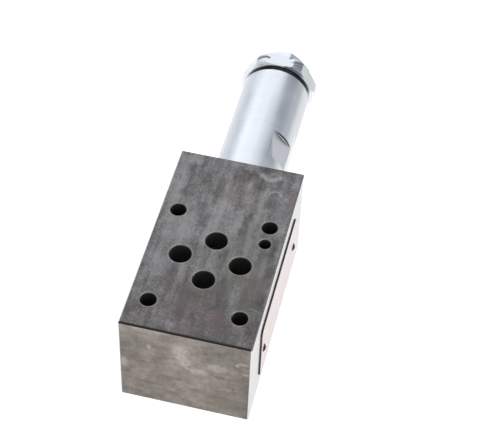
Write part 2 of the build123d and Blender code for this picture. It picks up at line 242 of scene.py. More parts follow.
edge_black = (0.035, 0.032, 0.030)
hole_edge_bright = (0.36, 0.36, 0.32)
hole_edge_dark = (0.050, 0.050, 0.045)
# Painted shade inside the holes
bore_mouth_shade = (0.035, 0.036, 0.030)
bore_deep_shade = (0.20, 0.205, 0.175)

# Colours of the marks on the plated cartridge, linear, many of them painted light and shade
painted_highlight_white = (0.95, 0.955, 0.965)
painted_shadow_black = (0.015, 0.018, 0.020)
front_grey = (0.46, 0.48, 0.51)
side_shade_grey = (0.80, 0.805, 0.81)
beside_block_highlight = (0.93, 0.925, 0.925)
beside_flat_highlight = (0.94, 0.95, 0.94)
under_flat_shade = (0.80, 0.80, 0.78)
flat_grey = (0.695, 0.690, 0.708)
flat_step_reflection = (0.47, 0.50, 0.485)
flat_corner_blue = (0.43, 0.48, 0.515)
flat_edge_green = (0.50, 0.54, 0.50)
step_shade_black = (0.045, 0.055, 0.058)
right_face_shade_green = (0.585, 0.610, 0.585)
right_face_shade_grey = (0.63, 0.625, 0.625)
left_face_highlight = (0.93, 0.935, 0.95)
corner_blue = (0.62, 0.64, 0.69)
groove_blue = (0.27, 0.28, 0.32)
front_corner_blue = (0.24, 0.245, 0.27)
dash_blue = (0.17, 0.18, 0.205)
left_back_dark = (0.20, 0.215, 0.22)
left_back_light = (0.90, 0.92, 0.93)
right_back_dark = (0.05, 0.055, 0.058)
right_back_light = (0.28, 0.295, 0.30)
right_back_rim = (0.42, 0.44, 0.49)
crease_grey = (0.14, 0.16, 0.17)
lower_back_green = (0.56, 0.59, 0.57)


class Shader:
    """One material's nodes. Lengths inside are in millimetres of the object's own space."""

    # Places of the colour sockets of a Mix node
    first_colour, second_colour, mixed_colour = 6, 7, 2

    def __init__(self, name):
        self.material = bpy.data.materials.new(name)
        self.material.use_nodes = True
        self.tree = self.material.node_tree
        self.surface = self.tree.nodes["Principled BSDF"]
        coordinates = self.node("ShaderNodeTexCoord")
        self.place = self.scaled(coordinates.outputs["Object"], (1 / MM, 1 / MM, 1 / MM))
        self.normal = coordinates.outputs["Normal"]

    def node(self, kind, **settings):
        made = self.tree.nodes.new(kind)
        for name, value in settings.items():
            setattr(made, name, value)
        return made

    def feed(self, socket, value):
        """Joins an output to a socket, or sets the socket to a plain value."""
        if isinstance(value, bpy.types.NodeSocket):
            self.tree.links.new(value, socket)
        else:
            socket.default_value = value

    def scaled(self, vector, scale):
        made = self.node("ShaderNodeVectorMath", operation="MULTIPLY")
        self.feed(made.inputs[0], vector)
        made.inputs[1].default_value = scale
        return made.outputs["Vector"]

    def dimmed(self, colour, level):
        made = self.node("ShaderNodeVectorMath", operation="SCALE")
        self.feed(made.inputs[0], colour)
        self.feed(made.inputs["Scale"], level)
        return made.outputs["Vector"]

    def axes(self, vector):
        made = self.node("ShaderNodeSeparateXYZ")
        self.feed(made.inputs[0], vector)
        return made.outputs["X"], made.outputs["Y"], made.outputs["Z"]

    def point(self, x, y, z):
        made = self.node("ShaderNodeCombineXYZ")
        for socket, value in zip(made.inputs, (x, y, z)):
            self.feed(socket, value)
        return made.outputs["Vector"]

    def math(self, operation, *values):
        made = self.node("ShaderNodeMath", operation=operation)
        for socket, value in zip(made.inputs, values):
            self.feed(socket, value)
        return made.outputs["Value"]

    def chain(self, operation, values):
        """The operation on the first two values, then on its result and the next one, and so on."""
        result = values[0]
        for value in values[1:]:
            result = self.math(operation, result, value)
        return result

    def add(self, *values):
        return self.chain("ADD", values)

    def times(self, *values):
        return self.chain("MULTIPLY", values)

    def largest(self, *values):
        return self.chain("MAXIMUM", values)

    def smallest(self, *values):
        return self.chain("MINIMUM", values)

    def minus(self, first, second):
        return self.math("SUBTRACT", first, second)

    def absolute(self, value):
        return self.math("ABSOLUTE", value)

    def length(self, a, b):
        """Distance from the origin of a flat pair of offsets."""
        return self.math("SQRT", self.add(self.times(a, a), self.times(b, b)))

    def step(self, value, low, high):
        """0 at low, 1 at high, smooth between. Low may be the larger of the two."""
        made = self.node("ShaderNodeMapRange", interpolation_type="SMOOTHSTEP")
        self.feed(made.inputs["Value"], value)
        flipped = low > high
        made.inputs["From Min"].default_value = min(low, high)
        made.inputs["From Max"].default_value = max(low, high)
        made.inputs["To Min"].default_value = 1.0 if flipped else 0.0
        made.inputs["To Max"].default_value = 0.0 if flipped else 1.0
        return made.outputs["Result"]

    def band(self, value, middle, half_width, softness=0.15):
        """1 within half a width of the middle, 0 outside."""
        off_middle = self.absolute(self.minus(value, middle))
        return self.step(off_middle, half_width + softness, half_width - softness)

    def ranged(self, value, low, high):
        """Maps 0 to 1 onto low to high."""
        made = self.node("ShaderNodeMapRange")
        self.feed(made.inputs["Value"], value)
        made.inputs["To Min"].default_value = low
        made.inputs["To Max"].default_value = high
        return made.outputs["Result"]

    def noise(self, size, *, detail, roughness, seed, stretch=(1.0, 1.0, 1.0), at=None):
        """Noise from 0 to 1, with blotches of about that size in millimetres."""
        made = self.node("ShaderNodeTexNoise", noise_dimensions="4D")
        place = self.place if at is None else at
        self.feed(made.inputs["Vector"], self.scaled(place, [1 / factor for factor in stretch]))
        made.inputs["W"].default_value = seed
        made.inputs["Scale"].default_value = 1 / size
        made.inputs["Detail"].default_value = detail
        made.inputs["Roughness"].default_value = roughness
        return made.outputs["Fac"]

    def mix(self, factor, first, second):
        """A colour between two, by a factor from 0 to 1."""
        made = self.node("ShaderNodeMix", data_type="RGBA")
        self.feed(made.inputs["Factor"], factor)
        for place, value in ((self.first_colour, first), (self.second_colour, second)):
            joined = isinstance(value, bpy.types.NodeSocket)
            self.feed(made.inputs[place], value if joined else (*value, 1.0))
        return made.outputs[self.mixed_colour]

    def painted(self, colour, mask, strength, paint):
        """A colour with paint over it: at that strength where the mask is 1, and none where it is 0."""
        return self.mix(self.times(mask, strength), colour, paint)

    def patch(self, a, b, middle, reach, softness):
        """An oval patch: 1 in the middle, 0 outside its reach along a and b."""
        across = self.math("DIVIDE", self.minus(a, middle[0]), reach[0])
        along = self.math("DIVIDE", self.minus(b, middle[1]), reach[1])
        return self.step(self.length(across, along), 1.0, 1.0 - softness)

    def arc(self, a, b, middle, radius, width, side):
        """A rubbed arc, the print of a round thing. Side is +1 or -1 for the half that shows along b."""
        across = self.minus(a, middle[0])
        along = self.minus(b, middle[1])
        off_line = self.absolute(self.minus(self.length(across, along), radius))
        fade = 0.35 * radius
        half = self.step(self.times(along, float(side)), -fade, fade)
        return self.times(self.step(off_line, width, 0.0), half)

    def spots(self, a, b, marks):
        """Soft oval marks, each a middle and a reach along a and b, added up to 1 at most."""
        total = 0.0
        for middle, reach in marks:
            total = self.add(self.patch(a, b, middle, reach, spot_softness), total)
        return self.smallest(total, 1.0)

    def wavy(self, value, size, reach, seed):
        """A coordinate pushed to and fro, so that what is drawn with it has an uneven outline."""
        push = self.minus(self.noise(size, detail=4.0, roughness=0.6, seed=seed), 0.5)
        return self.add(value, self.times(push, reach))

    def finish(self, colour, roughness, metallic, height, height_mm):
        """Joins the looks to the surface shader, with a bump of that height."""
        bump = self.node("ShaderNodeBump")
        bump.inputs["Strength"].default_value = 1.0
        bump.inputs["Distance"].default_value = height_mm * MM
        self.feed(bump.inputs["Height"], height)
        self.feed(self.surface.inputs["Base Color"], colour)
        self.feed(self.surface.inputs["Roughness"], roughness)
        self.feed(self.surface.inputs["Metallic"], metallic)
        self.feed(self.surface.inputs["Normal"], bump.outputs["Normal"])
        return self.material


def top_prints(s, colour, x, y, across, break_up):
    """What rested on the top face and scratched it: two ring prints, a rust mark and a scratch."""
    large_ring = s.arc(y, x, middle=(-11.4, 45.6), radius=3.7, width=1.7, side=-1)
    large_ring = s.times(large_ring, s.step(x, 45.0, 43.6), s.ranged(break_up, 0.4, 1.0))
    small_ring = s.arc(y, x, middle=(-14.8, 35.0), radius=2.0, width=0.45, side=1)
    rust = s.patch(across, x, middle=(-1.4, 42.6), reach=(1.5, 1.0), softness=0.8)
    scratch_line = s.add(s.minus(x, -16.0), s.times(s.add(y, 20.0), -0.22))
    scratch = s.times(s.step(s.absolute(scratch_line), 0.25, 0.0), s.step(y, -17.0, -18.5))
    colour = s.painted(colour, large_ring, 0.6, top_large_ring)
    colour = s.painted(colour, small_ring, 0.6, top_small_ring)
    colour = s.painted(colour, s.times(rust, break_up), 0.4, top_rust)
    return s.painted(colour, scratch, 0.5, top_scratch)


def ground_top(s, x, y):
    """Ground and phosphated top face: streaked, mottled and rubbed. Gives its colour and its level."""
    mottle = s.noise(4.5, detail=6.0, roughness=0.66, seed=3.1)
    streak = s.noise(2.6, detail=5.0, roughness=0.6, seed=8.4, stretch=(8.0, 1.0, 1.0))
    grain = s.noise(0.5, detail=3.0, roughness=0.7, seed=1.7)
    tint = s.noise(11.0, detail=3.0, roughness=0.5, seed=5.3)
    worn = s.noise(1.3, detail=5.0, roughness=0.65, seed=2.2, stretch=(2.0, 1.0, 1.0))
    break_up = s.step(worn, 0.32, 0.62)
    speck = s.step(s.noise(0.9, detail=2.0, roughness=0.6, seed=9.2), 0.66, 0.74)

    near_end = s.step(x, 3.0, -20.0)
    across, along = s.wavy(y, 3.0, 5.0, 4.1), s.wavy(x, 5.0, 9.0, 6.4)
    level = s.add(s.times(mottle, 0.45), s.times(streak, 0.55), s.times(s.minus(grain, 0.5), 0.62))
    level = s.minus(level, s.times(near_end, 0.065))
    light = s.times(s.spots(across, along, light_spots), s.ranged(break_up, 0.5, 1.0))
    dark = s.times(s.spots(across, along, dark_spots), s.ranged(break_up, 1.0, 0.6))
    level = s.minus(s.add(level, s.times(light, 0.12)), s.times(dark, 0.06))
    colour = s.mix(s.step(level, 0.33, 0.71), top_dark, top_light)
    colour = s.mix(dark, colour, s.scaled(colour, top_dark_tone))

    lilac = s.patch(y, x, middle=(15.0, 10.0), reach=(9.0, 14.0), softness=0.9)
    red_patches = s.spots(across, along, reddish_spots)
    reddish = s.add(red_patches, s.times(near_end, 0.2), s.times(s.step(tint, 0.54, 0.70), 0.7))
    green_patches = s.spots(across, along, greenish_spots)
    greenish = s.add(green_patches, s.times(s.step(tint, 0.46, 0.34), s.step(x, 5.0, -10.0)))
    yellowish = s.patch(y, x, middle=(-11.4, 31.0), reach=(1.8, 9.0), softness=0.7)
    colour = s.painted(colour, lilac, 0.15, top_lilac)
    colour = s.painted(colour, s.smallest(reddish, 1.0), 0.45, top_reddish)
    colour = s.painted(colour, s.smallest(greenish, 1.0), 0.32, top_greenish)
    colour = s.painted(colour, speck, 0.6, top_speck)
    colour = s.painted(colour, s.times(yellowish, break_up), 0.5, top_yellowish)
    return top_prints(s, colour, x, y, across, break_up), level


def hole_rims(s, x, y):
    """Bare rings round the holes of the top face, where their edges are broken."""
    rim_offset, rim_reach, rim_core = 0.45, 0.32, 0.08
    total = 0.0
    for mount in frame["record"]["mounts"]:
        dims = mount["dims"]
        radius = dims.get("hole_r_mm", dims.get("r_mm"))
        if radius is None or mount["axis"][2] < 0:
            continue
        along, across = mount["pos_m"][0] / MM, mount["pos_m"][1] / MM
        spread = dims.get("spacing_y_mm", 0.0) / 2
        for middle in sorted({across - spread, across + spread}):
            off_hole = s.length(s.minus(y, middle), s.minus(x, along))
            off_line = s.minus(off_hole, radius + rim_offset)
            total = s.add(s.step(s.absolute(off_line), rim_reach, rim_core), total)
    return total


def sawn_end(s, x, y, z):
    """Warm grey end faces. The plain one is smudged, scuffed and stained."""
    cloud = s.noise(6.0, detail=6.0, roughness=0.66, seed=5.9)
    lines = s.noise(0.8, detail=3.0, roughness=0.6, seed=4.4, stretch=(1.0, 9.0, 1.0))
    blotch = s.noise(2.2, detail=5.0, roughness=0.7, seed=7.3)
    tint = s.noise(9.0, detail=3.0, roughness=0.5, seed=1.2)
    break_up = s.step(s.noise(1.1, detail=4.0, roughness=0.7, seed=6.6), 0.36, 0.60)

    plain_end = s.step(x, 0.0, -10.0)
    across, up = s.wavy(y, 2.0, 4.0, 2.8), s.wavy(z, 2.0, 4.0, 9.6)
    level = s.add(s.times(cloud, 0.5), s.times(blotch, 0.3), s.times(lines, 0.2))
    level = s.minus(level, s.times(s.spots(across, z, stain_spots), plain_end, 0.10))
    colour = s.mix(s.step(level, 0.34, 0.68), end_dark, end_light)
    colour = s.painted(colour, s.step(tint, 0.5, 0.68), 0.3, end_lilac)
    colour = s.painted(colour, s.step(tint, 0.48, 0.34), 0.3, end_olive)

    smudged = s.times(s.spots(across, up, smudge_spots), s.ranged(break_up, 0.45, 1.0), plain_end)
    shaded = s.times(s.spots(across, up, shaded_spots), plain_end)
    scuffed = s.times(s.spots(y, z, scuff_spots), s.ranged(break_up, 0.3, 1.0), plain_end)
    top_corner = s.patch(y, z, middle=(12.0, 38.0), reach=(8.0, 8.0), softness=0.5)
    worn_edge = s.times(s.step(z, 36.5, 39.5), top_corner, s.ranged(break_up, 0.3, 1.0))
    colour = s.painted(colour, smudged, 0.85, end_smudge)
    colour = s.mix(shaded, colour, s.scaled(colour, end_shaded_tone))
    colour = s.painted(colour, scuffed, 0.6, end_scuff)
    return s.painted(colour, worn_edge, 0.6, end_worn_edge)


def milled_side(s):
    """Bright milled sides with long cutter lines. Gives their colour and the lines."""
    cloud = s.noise(8.0, detail=5.0, roughness=0.6, seed=2.7)
    lines = s.noise(0.5, detail=3.0, roughness=0.6, seed=7.1, stretch=(16.0, 1.0, 1.0))
    level = s.add(s.times(cloud, 0.6), s.times(lines, 0.4))
    return s.mix(s.step(level, 0.28, 0.72), side_dark, side_light), lines


def broken_edges(s, depth, to_side, nx, ny, nz):
    """The block's edges: bright outside, dark above the plain end, and two-toned round the holes."""
    faces_up = s.step(nz, 0.3, 0.6)
    near_top_edge = s.times(s.step(nx, -0.3, -0.6), faces_up)
    right_top_edge = s.times(s.step(ny, -0.3, -0.6), faces_up)
    outer = s.mix(near_top_edge, edge_bright, edge_black)
    outer = s.mix(right_top_edge, outer, edge_grey)
    round_holes = s.mix(s.step(depth, 0.14, 0.21), hole_edge_bright, hole_edge_dark)
    return s.mix(s.step(to_side, 1.0, 1.6), outer, round_holes)


def block_metal():
    """The block: each face by its own finish, bright broken edges, painted shade inside the holes."""
    low, high = (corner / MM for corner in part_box("valve_block"))
    centre = (low + high) / 2
    half = (high - low) / 2
    s = Shader("block_metal")
    x, y, z = s.axes(s.place)
    nx, ny, nz = s.axes(s.normal)
    depths = []
    for value, middle, reach in zip((x, y, z), centre, half):
        depths.append(s.minus(reach, s.absolute(s.minus(value, middle))))
    to_side = s.smallest(depths[0], depths[1])
    depth = s.smallest(to_side, depths[2])
    inside = s.step(depth, 0.32, 0.5)
    end_mask, side_mask, flat_mask = (s.step(s.absolute(part), 0.85, 0.95) for part in (nx, ny, nz))

    top, level = ground_top(s, x, y)
    top = s.painted(top, s.smallest(hole_rims(s, x, y), 1.0), 0.28, top_hole_rim)
    near_line = s.times(s.step(x, low[0] + 1.1, low[0] + 0.5), s.step(nz, 0.5, 0.9))
    top = s.painted(top, near_line, 0.9, edge_black)
    side, lines = milled_side(s)
    # Painted shade inside the holes: darkest near the block's faces, lighter deep inside
    bore = s.mix(s.step(depth, 2.0, 16.0), bore_mouth_shade, bore_deep_shade)

    colour = broken_edges(s, depth, to_side, nx, ny, nz)
    colour = s.mix(end_mask, colour, sawn_end(s, x, y, z))
    colour = s.mix(side_mask, colour, side)
    colour = s.mix(flat_mask, colour, top)
    colour = s.mix(inside, colour, bore)
    roughness = s.ranged(s.step(level, 0.25, 0.8), 0.42, 0.58)
    grain = s.noise(0.5, detail=4.0, roughness=0.7, seed=1.7)
    height = s.add(s.times(grain, 0.5), s.times(lines, 0.3))
    metallic = s.minus(s.ranged(side_mask, 0.85, 0.5), s.times(inside, 0.75))
    return s.finish(colour, roughness, metallic, height, height_mm=0.02)


def sleeve_light_and_shade(s, x, lean):
    """Painted light and shade round the sleeve, by its lean: a factor on the plating's colour."""
    right_flank = s.times(s.step(lean, 42.0, 54.0), s.step(lean, 94.0, 80.0), -0.15)
    right_band = s.times(s.band(lean, 54.0, 6.0, 5.0), -0.13)
    block_end = s.times(s.band(lean, 11.0, 6.0, 5.0), s.step(x, 98.0, 86.0), -0.10)
    left_flank = s.times(s.band(lean, -50.0, 5.0, 5.0), -0.09)
    left_band = s.times(s.band(lean, -33.0, 4.0, 4.0), 0.09)
    return s.add(1.0, right_flank, right_band, block_end, left_flank, left_band)


def sleeve_marks(s, colour, x, y, on_sleeve, lean):
    """Light and shade painted on the round of the sleeve. Gives the colour, and where the plating is made
    less metallic under the painted highlights.
    """
    # Painted shade on the plated faces that turn sideways or down
    faces_sideways = s.step(s.axes(s.normal)[2], 0.75, 0.35)
    colour = s.painted(colour, faces_sideways, 0.8, side_shade_grey)
    # Painted light and shade along the round of the sleeve
    colour = s.mix(on_sleeve, colour, s.dimmed(colour, sleeve_light_and_shade(s, x, lean)))
    # Painted highlight on the sleeve beside the block, where the plating is also made less metallic
    beside_block = s.patch(y, x, middle=(-5.5, 48.0), reach=(5.4, 14.0), softness=0.8)
    colour = s.mix(beside_block, colour, beside_block_highlight)
    # Painted shade on the sleeve under the wrench flat
    under_flat = s.patch(lean, x, middle=(52.0, 60.0), reach=(15.0, 5.0), softness=0.6)
    colour = s.painted(colour, s.times(on_sleeve, under_flat), 0.7, under_flat_shade)
    # Painted highlight on the right side of the sleeve, beside the flat, also made less metallic
    right_side = s.times(on_sleeve, s.step(lean, 70.0, 80.0), s.step(lean, 120.0, 105.0))
    beside_flat = s.times(right_side, s.step(x, 84.0, 76.0))
    colour = s.mix(beside_flat, colour, beside_flat_highlight)
    return colour, s.times(s.largest(beside_block, beside_flat), 0.45)


def flat_marks(s, colour, x, y, height, radius, on_sleeve, lean):
    """Marks on the wrench flat that shows, with two dark lines of painted shade along its step."""
    off_axis = s.add(s.times(y, -sin(flat_turn)), s.times(height, cos(flat_turn)))
    off_flat = s.minus(off_axis, flat_distance)
    along_step = s.add(s.times(y, cos(flat_turn)), s.times(height, sin(flat_turn)))
    on_flat = s.times(s.band(off_flat, 0.0, 0.05, 0.03), s.band(x, flat_middle, flat_half_length))
    colour = s.painted(colour, on_flat, 0.8, flat_grey)
    # Painted reflection of the flat's step on the flat
    near_step = s.step(x, flat_end - 4.5, flat_end - 0.5)
    mirrored_step = s.times(on_flat, near_step, s.step(along_step, -2.0, 2.5))
    colour = s.painted(colour, mirrored_step, 0.5, flat_step_reflection)
    off_corner = s.minus(along_step, s.add(5.0, s.times(s.minus(x, 70.5), 0.36)))
    colour = s.painted(colour, s.times(on_flat, s.step(off_corner, -0.5, 0.4)), 0.85, flat_corner_blue)
    right_edge = s.times(on_flat, s.step(along_step, -4.6, -4.8), s.step(x, 66.0, 68.0))
    colour = s.painted(colour, right_edge, 0.7, flat_edge_green)

    # Painted shade: dark lines at the flat's step, on the flat, on the step's face and on the sleeve beside
    # it
    inner_width, inner_length = s.band(x, flat_end - 0.5, 0.22, 0.12), s.band(along_step, 0.0, 2.4, 0.4)
    inner_line = s.times(on_flat, inner_width, inner_length, 0.9)
    faces_block = s.step(s.axes(s.normal)[0], -0.8, -0.95)
    off_round = s.step(radius, flat_distance, flat_distance + 0.1)
    on_step = s.times(faces_block, s.band(x, flat_end, 0.5), off_round)
    left_fade = s.ranged(s.step(along_step, 4.6, 2.6), 0.4, 1.0)
    right_fade = s.ranged(s.step(along_step, -4.8, -2.8), 0.5, 1.0)
    outer_line = s.ranged(s.step(radius, 12.42, 12.58), 0.15, 0.98)
    outer_line = s.times(on_step, outer_line, s.times(left_fade, right_fade))
    rim_width, rim_length = s.band(x, flat_end + 0.1, 0.12, 0.06), s.band(lean, 47.0, 16.0, 4.0)
    rim = s.times(on_sleeve, rim_width, rim_length, 0.9)
    return s.mix(s.largest(inner_line, outer_line, rim), colour, step_shade_black)


def hexagon_back(s, radius, lean, shaded):
    """The chamfered face of the hexagon that looks back along the sleeve, with painted light and shade: lit
    left, shaded right, a painted shadow next to the seal.
    """
    left_back = s.mix(s.step(radius, 12.3, 13.6), left_back_dark, left_back_light)
    right_back = s.mix(s.step(radius, 12.2, 12.95), right_back_dark, right_back_light)
    shade = s.mix(s.step(lean, 4.0, 14.0), left_back, right_back)
    # A painted dark line on the shaded right half
    line = s.times(s.band(radius, 13.68, 0.10, 0.08), s.step(lean, 8.0, 14.0))
    shade = s.painted(shade, line, 0.95, painted_shadow_black)
    outer_rim = s.times(s.step(radius, 13.8, 13.95), s.step(lean, 18.0, 24.0))
    shade = s.mix(outer_rim, shade, right_back_rim)

    crease = s.times(s.band(radius, 13.75, 0.10, 0.08), s.step(lean, -39.0, -36.0), 0.5)
    lit = s.mix(crease, painted_highlight_white, crease_grey)
    lit = s.mix(s.band(lean, 60.0, 18.0, 6.0), lit, lower_back_green)
    # Painted shadow on the back face next to the seal
    gap = s.times(s.step(radius, 12.85, 12.25), s.step(s.absolute(lean), 66.0, 58.0))
    lit = s.mix(gap, lit, painted_shadow_black)
    return s.mix(shaded, lit, shade)


def hexagon_marks(s, colour, x, y, radius, lean):
    """Marks, painted light and painted shade on the cap's hexagon: faces, corners and back. Gives the colour,
    and where it is made less metallic under the painted highlights.
    """
    nx, ny, nz = s.axes(s.normal)
    at_hexagon = s.times(s.step(x, cap_start - 0.2, cap_start - 0.1), s.step(radius, 12.3, 12.4))
    # Painted shade on the hexagon's upper right face
    right_face = s.times(at_hexagon, s.step(ny, -0.7, -0.8), s.step(nz, 0.3, 0.4))
    right_face_shade_colour = s.mix(s.step(lean, 68.0, 84.0), right_face_shade_green, right_face_shade_grey)
    colour = s.mix(right_face, colour, right_face_shade_colour)
    # Painted highlight on the hexagon's left face
    left_face = s.times(at_hexagon, s.step(ny, 0.7, 0.8))
    colour = s.mix(left_face, colour, left_face_highlight)

    # The corner at the upper right: grooves, a wedge beside them, a dark patch in front and a painted
    # highlight shaped as a notch
    land = s.step(radius, corner_radius - 0.14, corner_radius - 0.06)
    behind_front = s.step(nx, -0.3, -0.1)
    corner = s.times(at_hexagon, land, behind_front)
    wedge_width = s.times(s.minus(s.times(y, -1.0), 4.2), 0.35)
    off_wedge = s.minus(s.absolute(s.minus(x, 110.1)), wedge_width)
    wedge = s.times(at_hexagon, s.step(off_wedge, 0.15, -0.05), s.step(nz, 0.95, 0.98))
    skewed = s.minus(x, s.times(s.minus(lean, 17.0), groove_skew))
    groove_wave = s.math("COSINE", s.times(s.minus(skewed, 109.4), 2 * pi / groove_pitch))
    right_corner = s.times(corner, s.step(lean, 20.0, 21.0), s.step(lean, 50.0, 45.0))
    colour = s.painted(colour, right_corner, 0.8, corner_blue)
    groove_depth = s.ranged(s.step(x, 108.0, 110.2), 0.3, 0.8)
    grooves = s.times(right_corner, s.step(groove_wave, -0.5, 0.5), groove_depth)
    colour = s.mix(s.largest(grooves, s.times(wedge, 0.8)), colour, groove_blue)
    front_corner = s.times(at_hexagon, s.step(skewed, 111.7, 111.9), s.band(lean, 19.5, 6.0, 1.0))
    front_corner = s.times(front_corner, s.step(nx, 0.4, 0.3))
    colour = s.painted(colour, front_corner, 0.9, front_corner_blue)
    # Painted highlight on the corner, in the shape of a notch
    inner_notch_glint = s.times(s.step(lean, 15.0, 16.0), s.step(lean, 31.0, 28.0))
    inner_notch_glint = s.times(inner_notch_glint, s.band(skewed, 111.15, 0.5, 0.12))
    outer_notch_glint = s.times(s.step(lean, 26.0, 28.0), s.step(lean, 50.0, 45.0), s.step(skewed, 110.4, 110.6))
    notch_highlight = s.times(corner, s.largest(inner_notch_glint, outer_notch_glint))

    # The bent dark dash at the upper left
    bend = s.math("DIVIDE", s.add(lean, 27.0), 11.0)
    off_dash = s.add(s.minus(x, 110.75), s.times(bend, bend, 0.5))
    dash_ends = (s.step(lean, -15.5, -17.5), s.step(lean, -41.0, -36.0))
    dash = s.times(at_hexagon, s.band(off_dash, 0.0, 0.6, 0.25), *dash_ends, behind_front)
    colour = s.painted(colour, dash, 0.95, dash_blue)

    back = s.times(at_hexagon, s.step(nx, -0.2, -0.3))
    shaded = s.times(back, s.step(lean, -27.0, -22.0), s.step(lean, 50.0, 40.0))
    colour = s.mix(back, colour, hexagon_back(s, radius, lean, shaded))
    # Painted highlights on the back face's outer rim and on the lower corners, made less metallic
    rim_highlight = s.times(shaded, s.step(radius, 13.7, 13.95), s.step(lean, 22.0, 16.0))
    lower_corner_highlight = s.times(at_hexagon, land, s.step(s.absolute(lean), 80.0, 83.0))
    light = s.largest(s.times(s.largest(notch_highlight, rim_highlight), 0.97), s.times(lower_corner_highlight, 0.9))
    return s.mix(light, colour, painted_highlight_white), s.largest(light, s.times(left_face, 0.3))


def zinc_marks(s, colour, x, y, height, radius):
    """Marks, painted light and painted shade on the plated pieces. Gives the colour, and how much less
    metallic the plating is made under the painted highlights, from 0 to 1.

    Lean is how far a place on the round is turned from straight up: in degrees, positive towards -Y.
    """
    lean = s.times(s.math("ARCTAN2", s.times(y, -1.0), height), 180 / pi)
    front_faces = s.times(s.step(s.axes(s.normal)[0], 0.6, 0.9), s.step(x, 112.0, 113.0))
    colour = s.painted(colour, front_faces, 0.9, front_grey)
    on_round = s.step(radius, sleeve_radius - 0.1, sleeve_radius - 0.05)
    on_sleeve = s.times(on_round, s.step(x, cap_start, cap_start - 0.2))
    colour, sleeve_highlight_dullness = sleeve_marks(s, colour, x, y, on_sleeve, lean)
    colour = flat_marks(s, colour, x, y, height, radius, on_sleeve, lean)
    colour, hexagon_highlight_dullness = hexagon_marks(s, colour, x, y, radius, lean)
    return colour, s.largest(sleeve_highlight_dullness, hexagon_highlight_dullness)


def turned_metal(name, *, dark, light, roughness, ring_size, height_mm, marks=None):
    """Plated or ground steel with fine turning rings about the cartridge's axis and a few rubs."""
    rub_tone, fog_spread = 0.72, 0.12
    axis_height = sum(corner[2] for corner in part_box("spring_sleeve")) / 2 / MM
    s = Shader(name)
    x, y, z = s.axes(s.place)
    above_axis = s.minus(z, axis_height)
    radius = s.length(y, above_axis)
    rings = s.noise(ring_size, detail=3.0, roughness=0.6, seed=2.9, at=s.point(x, radius, 0.0))
    cloud = s.noise(9.0, detail=4.0, roughness=0.5, seed=1.3)
    grain = s.noise(0.35, detail=3.0, roughness=0.6, seed=6.1)
    rub_noise = s.noise(1.1, detail=3.0, roughness=0.7, seed=8.8, stretch=(3.0, 1.0, 1.0))
    level = s.add(s.times(cloud, 0.55), s.times(rings, 0.45))
    colour = s.mix(s.step(level, 0.3, 0.7), dark, light)
    colour = s.painted(colour, s.step(rub_noise, 0.64, 0.72), 0.22, [rub_tone * part for part in dark])
    metallic = 1.0
    if marks:
        colour, dull = marks(s, colour, x, y, above_axis, radius)
        metallic = s.minus(1.0, dull)
    fog = s.step(cloud, 0.3, 0.7)
    fog = s.ranged(fog, roughness * (1 - fog_spread), roughness * (1 + fog_spread))
    height = s.add(s.times(rings, 0.7), s.times(grain, 0.3))
    return s.finish(colour, fog, metallic, height, height_mm)


def seal_rubber():
    """Matt black nitrile with faint dust. The ring under the cap is lit where the gap is open."""
    s = Shader("seal_rubber")
    dust = s.step(s.noise(0.9, detail=5.0, roughness=0.7, seed=3.3), 0.5, 0.85)
    colour = s.mix(dust, (0.006, 0.007, 0.007), (0.020, 0.022, 0.022))
    x, y, z = s.axes(s.place)
    open_ends = s.times(s.step(s.absolute(y), 11.6, 12.8), s.step(x, 100.0, 101.0))
    colour = s.mix(s.times(open_ends, s.ranged(dust, 0.7, 0.95)), colour, (0.42, 0.45, 0.44))
    near_cap = s.times(s.step(x, 106.15, 106.55), s.band(y, -1.5, 4.5, 1.0), s.step(z, 25.0, 26.0))
    colour = s.mix(near_cap, colour, (0.10, 0.11, 0.11))
    s.surface.inputs["Specular IOR Level"].default_value = 0.2
    grain = s.noise(0.25, detail=3.0, roughness=0.6, seed=1.1)
    return s.finish(colour, s.ranged(dust, 0.65, 0.85), 0.0, grain, height_mm=0.01)


def backup_plastic():
    """Waxy white fluoropolymer."""
    s = Shader("backup_plastic")
    cloud = s.noise(2.0, detail=3.0, roughness=0.5, seed=4.0)
    colour = s.mix(cloud, (0.72, 0.72, 0.69), (0.84, 0.84, 0.82))
    grain = s.noise(0.5, detail=3.0, roughness=0.6, seed=2.0)
    return s.finish(colour, s.ranged(cloud, 0.38, 0.5), 0.0, grain, height_mm=0.005)


def label_metal():
    """Bare, faintly pink plate with dark cut edges."""
    s = Shader("label_metal")
    ny = s.axes(s.normal)[1]
    cloud = s.noise(6.0, detail=4.0, roughness=0.55, seed=2.5)
    brushed = s.noise(0.3, detail=3.0, roughness=0.6, seed=7.7, stretch=(30.0, 1.0, 1.0))
    level = s.add(s.times(cloud, 0.6), s.times(brushed, 0.4))
    field = s.mix(s.step(level, 0.3, 0.7), (0.93, 0.785, 0.76), (0.985, 0.855, 0.83))
    colour = s.mix(s.step(ny, -0.9, -0.5), field, (0.040, 0.030, 0.030))
    return s.finish(colour, s.ranged(cloud, 0.36, 0.46), 0.25, brushed, height_mm=0.006)


def rivet_metal():
    """Dull drive rivet, darker in its hollows."""
    s = Shader("rivet_metal")
    cloud = s.noise(0.8, detail=4.0, roughness=0.6, seed=3.9)
    colour = s.mix(s.step(cloud, 0.3, 0.7), (0.018, 0.012, 0.011), (0.060, 0.044, 0.040))
    s.surface.inputs["Specular IOR Level"].default_value = 0.2
    return s.finish(colour, s.ranged(cloud, 0.60, 0.75), 0.0, cloud, height_mm=0.02)


